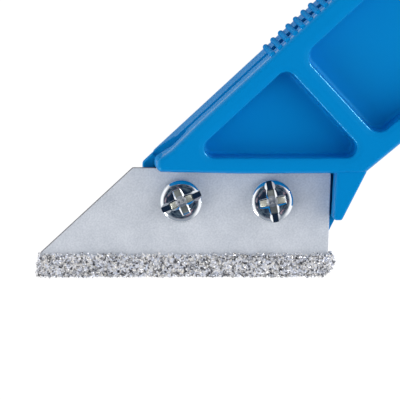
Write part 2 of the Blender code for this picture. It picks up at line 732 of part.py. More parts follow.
def make_grit(axes):
    """The band of brazed carbide grains over the blade's edge, with a rough skin."""
    dice = random.Random(GRIT_SEED)
    start = tip_front(GRIT_RIM) - GRIT_END
    end = blade_back(GRIT_RIM) + GRIT_TAIL
    mesh = bmesh.new()
    face = mesh.faces.new([mesh.verts.new((start, y, z)) for z, y in grit_section()])
    swept = bmesh.ops.extrude_face_region(mesh, geom=[face])["geom"]
    moved = [item for item in swept if isinstance(item, bmesh.types.BMVert)]
    bmesh.ops.translate(mesh, verts=moved, vec=(end - start, 0, 0))
    bmesh.ops.recalc_face_normals(mesh, faces=mesh.faces)
    stations = round((end - start) / GRIT_PITCH)
    for k in range(1, stations):
        everything = list(mesh.verts) + list(mesh.edges) + list(mesh.faces)
        place = start + (end - start) * k / stations
        bmesh.ops.bisect_plane(mesh, geom=everything, dist=MERGE_REACH,
                               plane_co=(place, 0, 0), plane_no=(1, 0, 0))
    for vert in mesh.verts:
        share = (vert.co.x - start) / (end - start)
        level = (vert.co.y - GRIT_BASE) / GRIT_HEIGHT
        front, back = grit_ends(min(max(level, 0), 1))
        rough = [dice.uniform(-GRIT_ROUGHNESS, GRIT_ROUGHNESS) for _ in range(3)]
        if vert.co.y > GRIT_RIM - GRIT_ROUGHNESS:
            rough[1] = dice.uniform(-GRIT_RAGGEDNESS, GRIT_RAGGEDNESS)
        vert.co += Vector(rough)
        vert.co.x += front * (1 - share) + back * share
    bmesh.ops.triangulate(mesh, faces=mesh.faces)
    finish = plain_material("carbide_grit", "9C9FA3", 0.55, 0.6)
    grit = new_object("carbide_grit", mesh, finish, smooth=False)
    grit.parent = axes
    bed = bmesh.new()
    prism(bed, rounded(grown(blade_corners(), CLEARANCE)), BLADE_BACK - CLEARANCE, BLADE_FACE + CLEARANCE)
    cutter = guide("blade_bed", bed)
    cutter.parent = axes
    combine(grit, cutter, "DIFFERENCE")


def head_cutters(name, axes_object):
    """The slot and the cross that a driver takes."""
    top = HEAD_SEAT + HEAD_HEIGHT
    slot = bmesh.new()
    length = (HEAD_RADIUS + OVERRUN) * 2
    box = Matrix.Translation((0, 0, top - SLOT_DEPTH + OVERRUN)) @ Matrix.Diagonal(
        (length, SLOT_WIDTH, OVERRUN * 2, 1))
    bmesh.ops.create_cube(slot, size=1, matrix=box)
    cross = bmesh.new()
    box = Matrix.Translation((0, 0, top - CROSS_DEPTH + OVERRUN)) @ Matrix.Diagonal(
        (CROSS_WIDTH, CROSS_ARM * 2, OVERRUN * 2, 1))
    bmesh.ops.create_cube(cross, size=1, matrix=box)
    core = bmesh.new()
    cylinder(core, (0, 0), CROSS_CORE_RADIUS, top - CROSS_DEPTH - CLEARANCE, top + OVERRUN, HOLE_SIDES)
    cutters = [guide(name + "_slot", slot), guide(name + "_cross", cross), guide(name + "_core", core)]
    for cutter in cutters:
        cutter.parent = axes_object
    return cutters


def make_screw(name, axes, place, turn):
    """A pan-head machine screw, turned from its point to the top of its head."""
    top = HEAD_SEAT + HEAD_HEIGHT
    side_top = HEAD_SEAT + HEAD_SIDE
    profile = [
        (0, SCREW_END),
        (SCREW_RADIUS - SCREW_POINT, SCREW_END),
        (SCREW_RADIUS, SCREW_END + SCREW_POINT),
        (SCREW_RADIUS, HEAD_SEAT),
        (HEAD_RADIUS - HEAD_EDGE, HEAD_SEAT),
        (HEAD_RADIUS, HEAD_SEAT + HEAD_EDGE),
        (HEAD_RADIUS, side_top),
    ]
    for k in range(1, DOME_STEPS + 1):
        sweep = math.pi / 2 * k / DOME_STEPS
        profile.append((HEAD_RADIUS * math.cos(sweep), side_top + (top - side_top) * math.sin(sweep)))
    mesh = bmesh.new()
    verts = [mesh.verts.new((max(r, 0), 0, z)) for r, z in profile]
    edges = [mesh.edges.new(pair) for pair in zip(verts, verts[1:])]
    bmesh.ops.spin(mesh, geom=verts + edges, cent=(0, 0, 0), axis=(0, 0, 1), dvec=(0, 0, 0),
                   angle=math.tau, steps=SCREW_SIDES, use_merge=True)
    bmesh.ops.remove_doubles(mesh, verts=mesh.verts, dist=MERGE_REACH)
    bmesh.ops.recalc_face_normals(mesh, faces=mesh.faces)
    finish = plain_material(name + "_zinc", "D4D8DC", 0.18, 1.0)
    screw = new_object(name, mesh, finish)
    screw.parent = axes
    screw.location = (place[0], place[1], 0)
    screw.rotation_euler = (0, 0, turn)
    for cutter in head_cutters(name, screw):
        combine(screw, cutter, "DIFFERENCE")


def make_nut(name, axes, place):
    """A hexagon nut, with its outer edges chamfered."""
    mesh = bmesh.new()
    top = NUT_FLOOR - CLEARANCE
    corner_radius = NUT_FLATS / 2 / math.cos(math.pi / 6)
    cylinder(mesh, (0, 0), corner_radius, top - NUT_HEIGHT, top, 6)
    bmesh.ops.bevel(mesh, geom=end_edges(mesh), offset=NUT_CHAMFER, segments=1, profile=0.5,
                    affect="EDGES", material=-1)
    finish = plain_material(name + "_zinc", "C9CDD2", 0.25, 1.0)
    nut = new_object(name, mesh, finish, smooth=False)
    nut.parent = axes
    nut.location = (place[0], place[1], 0)
    bore = bmesh.new()
    cylinder(bore, (0, 0), HOLE_RADIUS, top - NUT_HEIGHT - OVERRUN, top + OVERRUN, HOLE_SIDES)
    cutter = guide(name + "_bore", bore)
    cutter.parent = nut
    combine(nut, cutter, "DIFFERENCE")


clear_scene()
make_handle()
tool_axes = blade_axes()
make_blade(tool_axes)
make_grit(tool_axes)
front_place, rear_place = screw_places()
make_screw("front_screw", tool_axes, front_place, FRONT_SLOT_TURN)
make_screw("rear_screw", tool_axes, rear_place, REAR_SLOT_TURN)
make_nut("front_nut", tool_axes, front_place)
make_nut("rear_nut", tool_axes, rear_place)
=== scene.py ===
"""Grout rake: the looks of a moulded handle with a carbide-grit blade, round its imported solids.

The tool lies on its side. X runs along the grip towards the butt, Y across the grip and Z through
its thickness. The origin is on the lower flange, in the middle of the first cross rib.
"""
import math
import random

import bmesh
import bpy
from mathutils import Matrix, Vector


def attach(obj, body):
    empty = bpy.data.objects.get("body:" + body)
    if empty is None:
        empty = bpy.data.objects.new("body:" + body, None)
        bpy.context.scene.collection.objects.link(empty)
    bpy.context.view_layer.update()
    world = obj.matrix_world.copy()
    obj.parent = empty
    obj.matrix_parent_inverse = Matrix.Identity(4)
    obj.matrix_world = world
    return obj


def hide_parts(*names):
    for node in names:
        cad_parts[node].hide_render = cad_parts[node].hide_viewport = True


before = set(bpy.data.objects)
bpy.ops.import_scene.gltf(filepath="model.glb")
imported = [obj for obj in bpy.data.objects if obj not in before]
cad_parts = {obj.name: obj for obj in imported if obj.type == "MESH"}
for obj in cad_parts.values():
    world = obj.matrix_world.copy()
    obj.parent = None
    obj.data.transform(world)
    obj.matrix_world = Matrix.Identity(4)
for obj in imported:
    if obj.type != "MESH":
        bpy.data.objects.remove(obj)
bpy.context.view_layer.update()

# The handle is one moulding of blue polypropylene, shot in a mould of two halves that part along
# the groove on its top edge. Its pockets are drafted and rounded, its web is left between them,
# and the near half's nose dips where the far half's runs on straight.
MM = 0.001
CLEARANCE = 0.3 * MM
OVERRUN = 2 * MM
THICKNESS = 16 * MM
PARTING = 9.2 * MM
TOP = 12.53 * MM
GRIP_TURN = math.radians(-42.9)
HEEL_CORNER = Vector((-4.26 * MM, -12.45 * MM))
HEEL_REACH = 22.58 * MM
ROUND_STEPS = 5
ARC_SAG = 0.006 * MM


def on_blade_axes(along, above):
    """A point given along the blade from the screws' middle and above the base bar's underside."""
    turned = Matrix.Rotation(GRIP_TURN, 2) @ Vector((along * MM - HEEL_REACH, above * MM))
    return HEEL_CORNER + turned


def on_grip(along, across):
    """A point given in millimetres along and across the grip."""
    return Vector((along * MM, across * MM))


def meeting(point_a, angle_a, point_b, angle_b):
    """Where two straight lines meet, each given by a point and an angle."""
    way_a = Vector((math.cos(angle_a), math.sin(angle_a)))
    way_b = Vector((math.cos(angle_b), math.sin(angle_b)))
    apart = point_b - point_a
    return point_a + way_a * (apart.cross(way_b) / way_a.cross(way_b))


def widened(corners, distance):
    """An outline's corners and rounds with each side moved outwards."""
    result = []
    for i, (point, radius) in enumerate(corners):
        before = (point - corners[i - 1][0]).normalized()
        after = (corners[(i + 1) % len(corners)][0] - point).normalized()
        out_before = Vector((before.y, -before.x))
        out_after = Vector((after.y, -after.x))
        shift = (out_before + out_after) / (1 + out_before.dot(out_after))
        result.append((point + shift * distance, radius + distance))
    return result


def outline_face(mesh, corners, level):
    """A flat face at a height, whose corners are arcs spun about their centres."""
    ends = []
    for i, (corner, radius) in enumerate(corners):
        before = (corner - corners[i - 1][0]).normalized()
        after = (corners[(i + 1) % len(corners)][0] - corner).normalized()
        turn = math.atan2(before.cross(after), before.dot(after))
        start = corner - before * radius * math.tan(abs(turn) / 2)
        centre = start + Vector((-before.y, before.x)) * math.copysign(radius, turn)
        steps = max(3, math.ceil(abs(turn) / (2 * math.acos(1 - min(ARC_SAG / radius, 0.5)))))
        first = mesh.verts.new((start.x, start.y, level))
        last = bmesh.ops.spin(mesh, geom=[first], cent=(centre.x, centre.y, level), axis=(0, 0, 1),
                              dvec=(0, 0, 0), angle=turn, steps=steps)["geom_last"][0]
        ends.append((first, last))
    for i, (first, _) in enumerate(ends):
        mesh.edges.new((ends[i - 1][1], first))
    wires = [edge for edge in mesh.edges if edge.is_wire]
    return bmesh.ops.edgeloop_fill(mesh, edges=wires)["faces"][0]


def quarter_round(wide, deep, steps, mouth):
    """The steps in and on by which a rim or a floor is rounded."""
    result = []
    for k in range(steps):
        first = math.pi / 2 * k / steps
        second = math.pi / 2 * (k + 1) / steps
        rise = math.sin(second) - math.sin(first)
        fall = math.cos(first) - math.cos(second)
        result.append((wide * rise, deep * fall) if mouth else (wide * fall, deep * rise))
    return result


def slab(mesh, corners, low, high, low_steps=(), high_steps=()):
    """A solid between two heights, whose ends narrow by steps of inset and depth."""
    low_edge = low + sum(on for _, on in low_steps)
    high_edge = high - sum(on for _, on in high_steps)
    base = outline_face(mesh, corners, low_edge)
    raised = bmesh.ops.extrude_face_region(mesh, geom=[base])["geom"]
    lifted = [item for item in raised if isinstance(item, bmesh.types.BMVert)]
    top = next(item for item in raised if isinstance(item, bmesh.types.BMFace))
    bmesh.ops.translate(mesh, verts=lifted, vec=(0, 0, high_edge - low_edge))
    walls = [face for edge in base.edges for face in edge.link_faces]
    bmesh.ops.recalc_face_normals(mesh, faces=list({base, top, *walls}))
    for face, steps in ((base, low_steps), (top, high_steps)):
        for inwards, onwards in steps:
            bmesh.ops.inset_region(mesh, faces=[face], thickness=inwards, depth=onwards,
                                   use_even_offset=True, use_boundary=True)


def round_bar(mesh, centre, radius, low, high, sides):
    """An upright round bar."""
    place = Matrix.Translation((centre[0], centre[1], (low + high) / 2))
    return bmesh.ops.create_cone(mesh, cap_ends=True, segments=sides, radius1=radius,
                                 radius2=radius, depth=high - low, matrix=place)["verts"]


def level_edges(mesh):
    """The edges that lie flat, round the ends of upright bars."""
    return [edge for edge in mesh.edges if abs(edge.verts[0].co.z - edge.verts[1].co.z) < MM / 100]


def new_piece(name, mesh, finish=None):
    """A finished bmesh as an object at the origin."""
    data = bpy.data.meshes.new(name)
    mesh.to_mesh(data)
    mesh.free()
    item = bpy.data.objects.new(name, data)
    bpy.context.scene.collection.objects.link(item)
    if finish:
        data.materials.append(finish)
    return item


def settle(item):
    """Writes a piece's modifiers into its mesh."""
    graph = bpy.context.evaluated_depsgraph_get()
    shaped = bpy.data.meshes.new_from_object(item.evaluated_get(graph))
    item.modifiers.clear()
    item.data = shaped


def carve(item, shapes):
    """Joins or cuts a piece with one shape after another, and removes the shapes."""
    for mesh, operation in shapes:
        tool = new_piece("shaping", mesh)
        step = item.modifiers.new("shaping", "BOOLEAN")
        step.operation = operation
        step.solver = "EXACT"
        step.object = tool
        settle(item)
        bpy.data.objects.remove(tool)


def smooth_rounds(item, degrees):
    """Smooth shading over the rounds, with the flat faces kept flat and the corners kept sharp."""
    item.data.shade_smooth()
    item.data.set_sharp_from_angle(angle=math.radians(degrees))
    step = item.modifiers.new("even_faces", "WEIGHTED_NORMAL")
    step.keep_sharp = True
    settle(item)


def lower_corners():
    """The grip's lower edge: the heel, the belly, the waist and the hook at the butt."""
    return [(on_blade_axes(22.85, 0), 1.5 * MM), (on_grip(50, -15.7), 400 * MM),
            (on_grip(108, -13.05), 120 * MM), (on_grip(140, -18.45), 5.5 * MM)]


def butt_corners():
    """The butt and the crest over the eye."""
    return [(on_grip(146.5, -6), 15 * MM), (on_grip(146.5, 15.05), 6.5 * MM),
            (on_grip(123, TOP / MM), 120 * MM)]


def lower_edge(reach):
    """How low the grip's lower edge is at a distance along the grip."""
    points = [point for point, _ in lower_corners()]
    for first, second in zip(points, points[1:]):
        if reach <= second.x:
            break
    return first.y + (second.y - first.y) * (reach - first.x) / (second.x - first.x)


# The near half's nose dips and the far half's runs on straight. Reaches and rises along the blade
# are in millimetres here and below.
NEAR_NOSE = -12.0
FAR_NOSE = -11.6
NOSE_RISE = 2.4
NOSE_SOLE = 0.24
NOSE_ROUND = 1 * MM
DIP_SLOPE = math.radians(30.5)
DIP_LEVEL = 12.33
DIP_RUN = 6 * MM
DIP_ROUND = 8 * MM
NEAR_EDGE = (0.9 * MM, 1.2 * MM)
FAR_EDGE = (0.8 * MM, 0.7 * MM)
bar_sole = (on_blade_axes(2, -0.08), 60 * MM)
nose_top = on_blade_axes(NEAR_NOSE, NOSE_RISE)
nose_dip = meeting(nose_top, DIP_SLOPE + GRIP_TURN, on_grip(0, DIP_LEVEL), 0)
near_nose = [(Vector((nose_dip.x + DIP_RUN, TOP)), DIP_ROUND), (nose_dip, DIP_ROUND),
             (nose_top, NOSE_ROUND), (on_blade_axes(NEAR_NOSE, NOSE_SOLE), NOSE_ROUND), bar_sole]
far_foot = on_blade_axes(FAR_NOSE, NOSE_SOLE)
far_top = meeting(far_foot, math.pi / 2 + GRIP_TURN, on_grip(0, TOP / MM), 0)
far_nose = [(far_top, NOSE_ROUND), (far_foot, NOSE_ROUND), bar_sole]

near_half = bmesh.new()
slab(near_half, lower_corners() + butt_corners() + near_nose, PARTING, THICKNESS,
     high_steps=quarter_round(*NEAR_EDGE, ROUND_STEPS, mouth=False))
far_half = bmesh.new()
slab(far_half, lower_corners() + butt_corners() + far_nose, 0, PARTING,
     low_steps=quarter_round(*FAR_EDGE, ROUND_STEPS, mouth=False))

# A shallow dish in the top edge, just behind the dip.
SCOOP_SIZE = (2.8 * MM, 0.8 * MM, 3.2 * MM)
SCOOP_PAST_DIP = 2.2 * MM
scoop = bmesh.new()
scoop_place = Matrix.Translation((nose_dip.x + SCOOP_PAST_DIP, TOP, PARTING))
bmesh.ops.create_uvsphere(scoop, u_segments=48, v_segments=24, radius=1,
                          matrix=scoop_place @ Matrix.Diagonal((*SCOOP_SIZE, 1)))

# The tongue hangs below the base bar, behind the blade.
TONGUE_FACE = 9.05 * MM
TONGUE_BACK = 6.25 * MM
TONGUE_FRONT = -13.75
TONGUE_REAR = 22.75
TONGUE_LOW = -11.6
TONGUE_HIGH = 2
heel_slope = math.tan(math.radians(26.7))
tongue = bmesh.new()
slab(tongue, [(on_blade_axes(TONGUE_FRONT, TONGUE_LOW), 1.5 * MM),
              (on_blade_axes(TONGUE_REAR + TONGUE_LOW * heel_slope, TONGUE_LOW), 1.5 * MM),
              (on_blade_axes(TONGUE_REAR + TONGUE_HIGH * heel_slope, TONGUE_HIGH), 0.7 * MM),
              (on_blade_axes(-8.2, 5.6), 2 * MM), (on_blade_axes(-11.1, 3.6), 2 * MM),
              (on_blade_axes(TONGUE_FRONT, 1.1), 0.8 * MM)], TONGUE_BACK, TONGUE_FACE,
     quarter_round(0.25 * MM, 0.25 * MM, 3, mouth=False),
     quarter_round(0.15 * MM, 0.15 * MM, 3, mouth=False))

# The heel stands behind the blade's rear edge and leans with it.
HEEL_FRONT = 18.1
HEEL_THICK = 1.4
HEEL_LOW = -7.9
HEEL_HIGH = 1
HEEL_INSET = 0.45 * MM
heel_lean = math.tan(math.radians(2.8))
heel_start = HEEL_FRONT + HEEL_LOW * heel_lean
heel_end = heel_start + HEEL_THICK
heel_round = quarter_round(0.45 * MM, 0.5 * MM, ROUND_STEPS, mouth=False)
heel = bmesh.new()
slab(heel, [(on_blade_axes(heel_start, HEEL_LOW), 0.48 * MM),
            (on_blade_axes(heel_end, HEEL_LOW), 0.48 * MM),
            (on_blade_axes(heel_end + (HEEL_HIGH - HEEL_LOW) * heel_slope, HEEL_HIGH), 0.6 * MM),
            (on_blade_axes(HEEL_FRONT + HEEL_HIGH * heel_lean, HEEL_HIGH), 0.6 * MM)],
     HEEL_INSET, THICKNESS - HEEL_INSET, heel_round, heel_round)

# Bosses behind the tongue hold the nuts in hexagonal seats. The hanging eye is bored here with the
# screws' holes.
BOSS_TOP = 4.05 * MM
BOSS_WALL = 1 * MM
NUT_FLOOR = 6.85 * MM
NUT_FLATS = 6.0 * MM
SCREW_PLACES = ((-7.65, -5.0), (7.65, -5.0))
SCREW_HOLE = 2.05 * MM
EYE = (132.0 * MM, -1.2 * MM)
EYE_BORE = 4.5 * MM
bosses = bmesh.new()
seats = bmesh.new()
holes = bmesh.new()
seat_corner = (NUT_FLATS / 2 + CLEARANCE) / math.cos(math.pi / 6)
for along, above in SCREW_PLACES:
    centre = on_blade_axes(along, above)
    round_bar(bosses, centre, seat_corner + BOSS_WALL, BOSS_TOP, TONGUE_FACE - CLEARANCE, 64)
    seat = round_bar(seats, centre, seat_corner, BOSS_TOP - OVERRUN, NUT_FLOOR, 6)
    bmesh.ops.rotate(seats, verts=seat, cent=centre.to_3d(),
                     matrix=Matrix.Rotation(GRIP_TURN, 3, "Z"))
    round_bar(holes, centre, SCREW_HOLE, TONGUE_BACK - OVERRUN, TONGUE_FACE + OVERRUN, 48)
boss_rims = [edge for edge in level_edges(bosses) if edge.verts[0].co.z < TONGUE_BACK]
bmesh.ops.bevel(bosses, geom=boss_rims, offset=0.4 * MM, segments=4, profile=0.5, affect="EDGES",
                material=-1)
round_bar(holes, EYE, EYE_BORE, -OVERRUN, THICKNESS + OVERRUN, 96)

# A rebate in the base bar takes the blade's top edge.
BLADE_FACE = 10.85 * MM
BLADE_RISE = 0.45
BACK_LEAN = math.tan(math.radians(1.5))
REBATE_FRONT = -14
REBATE_LOW = -2
SHARP = 0.01 * MM


def blade_back(above):
    """How far back the blade reaches at a height above the base, in millimetres."""
    return heel_start - CLEARANCE / MM + (above - HEEL_LOW) * BACK_LEAN


rebate_end = blade_back(BLADE_RISE) + CLEARANCE / MM
rebate_top = BLADE_RISE + CLEARANCE / MM
rebate = bmesh.new()
slab(rebate, [(on_blade_axes(REBATE_FRONT, REBATE_LOW), SHARP),
              (on_blade_axes(rebate_end, REBATE_LOW), SHARP),
              (on_blade_axes(rebate_end, rebate_top), SHARP),
              (on_blade_axes(REBATE_FRONT, rebate_top), SHARP)],
     TONGUE_FACE, BLADE_FACE + CLEARANCE)

# Five pockets on each side leave cross ribs between them and a web at their floors. Their cutters
# start a hair above the flange's face, so that the crown fades out in it.
RIB_HALF = 1.7
NOSE_POCKET_LEVEL = 9.35
NOSE_POCKET_ROUND = 1.7 * MM
POCKET_STARTS = (RIB_HALF, 41.433, 81.167)
POCKET_RUN = 36.333
POCKET_LEVEL = 8.9
POCKET_ROUND = 2.3 * MM
BELLY_FRONT = 3.35
BELLY_REAR = 3.3
BUTT_POCKET_START = 120.9
BUTT_POCKET_END = 143
BUTT_POCKET_ROUND = 3.5 * MM
NEAR_FLOOR = 10.4 * MM
FAR_FLOOR = 8.0 * MM
RIM_ROUND = 0.5 * MM
FLOOR_ROUND = 0.65 * MM
DRAFT = math.radians(2.0)
RIM_CROWN = ((0.3 * MM, 0.02 * MM), (0.3 * MM, 0.055 * MM), (0.3 * MM, 0.12 * MM))
CROWN_LIFT = 0.01 * MM
pocket_walls = [[(on_grip(-RIB_HALF, -11.28), NOSE_POCKET_ROUND),
                 (on_grip(-RIB_HALF, NOSE_POCKET_LEVEL), NOSE_POCKET_ROUND),
                 (on_grip(-23.9, NOSE_POCKET_LEVEL), NOSE_POCKET_ROUND)]]
for start in POCKET_STARTS:
    end = start + POCKET_RUN
    pocket_walls.append([
        (on_grip(start, lower_edge(start * MM) / MM + BELLY_FRONT), POCKET_ROUND),
        (on_grip(end, lower_edge(end * MM) / MM + BELLY_REAR), POCKET_ROUND),
        (on_grip(end, POCKET_LEVEL), POCKET_ROUND), (on_grip(start, POCKET_LEVEL), POCKET_ROUND)])
pocket_walls.append([(on_grip(BUTT_POCKET_START, -12.08), POCKET_ROUND),
                     (on_grip(138.25, -14.66), BUTT_POCKET_ROUND),
                     (on_grip(BUTT_POCKET_END, -4.25), BUTT_POCKET_ROUND),
                     (on_grip(BUTT_POCKET_END, 11.5), BUTT_POCKET_ROUND),
                     (on_grip(BUTT_POCKET_START, POCKET_LEVEL), POCKET_ROUND)])
crown_width = sum(inwards for inwards, _ in RIM_CROWN)
crown_drop = sum(onwards for _, onwards in RIM_CROWN)


def pocket_steps(depth):
    """How a pocket narrows: a soft crown, a rounded rim, a drafted wall and a rounded floor."""
    wall = depth - crown_drop - RIM_ROUND - FLOOR_ROUND
    rim = quarter_round(RIM_ROUND, RIM_ROUND, ROUND_STEPS, mouth=True)
    floor = quarter_round(FLOOR_ROUND, FLOOR_ROUND, ROUND_STEPS, mouth=False)
    return list(RIM_CROWN) + rim + [(wall * math.tan(DRAFT), wall)] + floor


pockets = bmesh.new()
for corners in pocket_walls:
    mouth = widened(corners, RIM_ROUND + crown_width)
    near_steps = pocket_steps(THICKNESS - NEAR_FLOOR + CROWN_LIFT)
    slab(pockets, mouth, NEAR_FLOOR, THICKNESS + OVERRUN, low_steps=near_steps)
    slab(pockets, mouth, -OVERRUN, FAR_FLOOR, high_steps=pocket_steps(FAR_FLOOR + CROWN_LIFT))

# A round wall keeps the hanging eye apart from the last pocket.
EYE_WALL = 3.0 * MM
EYE_INSET = 0.35 * MM
eye_wall = bmesh.new()
round_bar(eye_wall, EYE, EYE_BORE + EYE_WALL, EYE_INSET, THICKNESS - EYE_INSET, 96)
bmesh.ops.bevel(eye_wall, geom=level_edges(eye_wall), offset=0.6 * MM, segments=4, profile=0.5,
                affect="EDGES", material=-1)

# The parting groove runs along the top edge and widens towards its mouth.
GROOVE_END = 119 * MM
GROOVE_DEPTH = 0.8 * MM
GROOVE_FLOOR = 1.15 * MM
GROOVE_MOUTH = 2.0 * MM
groove_run = GROOVE_END - nose_top.x
groove_high = GROOVE_DEPTH + OVERRUN
groove_middle = (nose_top.x + groove_run / 2, TOP - GROOVE_DEPTH + groove_high / 2, PARTING)
groove = bmesh.new()
bmesh.ops.create_cube(groove, size=1, matrix=Matrix.Translation(groove_middle)
                      @ Matrix.Diagonal((groove_run, groove_high, 2 * GROOVE_MOUTH, 1)))
for vert in groove.verts:
    if vert.co.y < TOP:
        vert.co.z = PARTING + math.copysign(GROOVE_FLOOR, vert.co.z - PARTING)

# A finer groove follows the near half's dip.
DIP_GROOVE_RISE = 0.65 * MM
DIP_GROOVE_INWARDS = 0.22 * MM
DIP_GROOVE_SIZE = (0.95 * MM, 1.6 * MM)
dip_line = nose_dip - nose_top
dip_middle = ((nose_top + nose_dip) / 2).to_3d() + Vector((0, 0, PARTING + DIP_GROOVE_RISE))
dip_groove = bmesh.new()
bmesh.ops.create_cube(dip_groove, size=1, matrix=Matrix.Translation(dip_middle)
                      @ Matrix.Rotation(math.atan2(dip_line.y, dip_line.x), 4, "Z")
                      @ Matrix.Translation((0, -DIP_GROOVE_INWARDS, 0))
                      @ Matrix.Diagonal((dip_line.length + MM, *DIP_GROOVE_SIZE, 1)))

# The thumb pad: half-round ridges across the groove, with notches between them.
RIDGE_COUNT = 24
RIDGE_START = -1.9
RIDGE_PITCH = 1.72
RIDGE_RISE = 0.45 * MM
RIDGE_ROUND = 0.51 * MM
RIDGE_INSET = 0.65 * MM
NOTCH_SIZE = (0.74 * MM, 2.3 * MM, 4.1 * MM)
ridges = bmesh.new()
notches = bmesh.new()
for i in range(RIDGE_COUNT):
    centre = ((i * RIDGE_PITCH + RIDGE_START) * MM, TOP + RIDGE_RISE - RIDGE_ROUND)
    if i:
        notch = (centre[0] - RIDGE_PITCH / 2 * MM, TOP, PARTING)
        bmesh.ops.create_cube(notches, size=1, matrix=Matrix.Translation(notch)
                              @ Matrix.Diagonal((*NOTCH_SIZE, 1)))
    round_bar(ridges, centre, RIDGE_ROUND, RIDGE_INSET, THICKNESS - RIDGE_INSET, 24)
bmesh.ops.bevel(ridges, geom=level_edges(ridges), offset=0.25 * MM, segments=3, profile=0.5,
                affect="EDGES", material=-1)


def linear_colour(hex_colour):
    """An sRGB hex colour as the linear values that a shader takes."""
    channels = [int(hex_colour[i:i + 2], 16) / 255 for i in (0, 2, 4)]
    return [c / 12.92 if c <= 0.04045 else ((c + 0.055) / 1.055) ** 2.4 for c in channels] + [1.0]


def add_node(tree, kind, sockets=None, **settings):
    """A node with its settings, whose sockets are set to a value or linked to another's output."""
    node = tree.nodes.new(kind)
    for setting, value in settings.items():
        setattr(node, setting, value)
    for socket, value in (sockets or {}).items():
        if isinstance(value, bpy.types.NodeSocket):
            tree.links.new(value, node.inputs[socket])
        else:
            node.inputs[socket].default_value = value
    return node


def new_finish(name):
    """An empty material with its shader and the piece's own coordinates."""
    finish = bpy.data.materials.new(name)
    finish.use_nodes = True
    tree = finish.node_tree
    place = add_node(tree, "ShaderNodeTexCoord").outputs["Object"]
    return finish, tree, tree.nodes["Principled BSDF"], place


# Moulded polypropylene, coloured through: satin from the mould's spark-eroded skin, glossier on the
# faces than on the walls and dull on the pad, with a witness line where the mould's halves met. The
# skin's grain is drawn 0.22 mm coarse, so that it shows.
HANDLE_BLUE = "018AD1"
HANDLE_DEEP_BLUE = "0187CD"
SHEEN_BLUE = "59D3FF"
CLOUD_SIZE = 9 * MM
LUMP_SIZE = 1.6 * MM
SKIN_SIZE = 0.22 * MM
WITNESS_HALF = 0.12 * MM
FACES_FROM_MIDDLE = 6.7 * MM
PAD_START = TOP + 0.06 * MM
polypropylene, tree, shader, place = new_finish("moulded_polypropylene")
cloud = add_node(tree, "ShaderNodeTexNoise", {"Vector": place, "Scale": 1 / CLOUD_SIZE,
                                              "Detail": 3})
tint = add_node(tree, "ShaderNodeMix", {0: cloud.outputs[0], 6: linear_colour(HANDLE_BLUE),
                                        7: linear_colour(HANDLE_DEEP_BLUE)}, data_type="RGBA")
skin = add_node(tree, "ShaderNodeTexNoise", {"Vector": place, "Scale": 1 / SKIN_SIZE, "Detail": 2})
lumps = add_node(tree, "ShaderNodeTexNoise", {"Vector": place, "Scale": 1 / LUMP_SIZE, "Detail": 2})
height = add_node(tree, "ShaderNodeSeparateXYZ", {0: place})
off_line = add_node(tree, "ShaderNodeMath", {0: height.outputs["Z"], 1: PARTING},
                    operation="SUBTRACT")
off_line = add_node(tree, "ShaderNodeMath", {0: off_line.outputs[0]}, operation="ABSOLUTE")
witness = add_node(tree, "ShaderNodeMapRange", {0: off_line.outputs[0], 1: 0.0, 2: WITNESS_HALF,
                                                3: 1.0, 4: 0.0}, interpolation_type="SMOOTHSTEP")
bump = add_node(tree, "ShaderNodeBump", {"Height": lumps.outputs[0], "Strength": 0.5,
                                         "Distance": 0.05 * MM})
bump = add_node(tree, "ShaderNodeBump", {"Height": skin.outputs[0], "Strength": 0.35,
                                         "Distance": 0.02 * MM, "Normal": bump.outputs[0]})
bump = add_node(tree, "ShaderNodeBump", {"Height": witness.outputs[0], "Strength": 0.6,
                                         "Distance": 0.04 * MM, "Normal": bump.outputs[0]})
on_pad = add_node(tree, "ShaderNodeMath", {0: height.outputs["Y"], 1: PAD_START},
                  operation="GREATER_THAN")
on_walls = add_node(tree, "ShaderNodeMath", {0: height.outputs["Z"], 1: THICKNESS / 2,
                                             2: FACES_FROM_MIDDLE}, operation="COMPARE")
gloss = add_node(tree, "ShaderNodeMix", {0: on_walls.outputs[0], 2: 0.25, 3: 0.65})
gloss = add_node(tree, "ShaderNodeMix", {0: on_pad.outputs[0], 2: gloss.outputs[0], 3: 0.95})
tree.links.new(tint.outputs[2], shader.inputs["Base Color"])
tree.links.new(gloss.outputs[0], shader.inputs["Roughness"])
tree.links.new(bump.outputs[0], shader.inputs["Normal"])
shader.inputs["IOR"].default_value = 1.49
shader.inputs["Specular IOR Level"].default_value = 0.4
shader.inputs["Specular Tint"].default_value = linear_colour(SHEEN_BLUE)

handle = new_piece("moulded_handle", near_half, polypropylene)
carve(handle, [(scoop, "DIFFERENCE"), (far_half, "UNION"), (tongue, "UNION"), (heel, "UNION"),
               (bosses, "UNION"), (rebate, "DIFFERENCE"), (pockets, "DIFFERENCE"),
               (eye_wall, "UNION"), (groove, "DIFFERENCE"), (dip_groove, "DIFFERENCE"),
               (notches, "DIFFERENCE"), (ridges, "UNION"), (holes, "DIFFERENCE"),
               (seats, "DIFFERENCE")])
smooth_rounds(handle, 32)
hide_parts("handle")
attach(handle, "root")

# The nuts are M3.5 hexagon nuts of zinc-plated steel, hot-formed and chamfered on both faces. They
# are pressed into the seats behind the tongue, where the screws draw them up.
NUT_TOP = 6.55 * MM
NUT_HEIGHT = 2.8 * MM
NUT_FACE = 2.6 * MM
NUT_CHAMFER = 0.5 * MM
CHAMFER_END = 3.7 * MM
CHAMFER_OVER = 0.1 * MM
THREAD_PITCH = 0.6 * MM
THREAD_DEPTH = 0.3 * MM
THREAD_LEAD = 0.2 * MM
BORE_RADIUS = 2.0 * MM
blade_place = Matrix.Translation(on_blade_axes(0, 0).to_3d()) @ Matrix.Rotation(GRIP_TURN, 4, "Z")


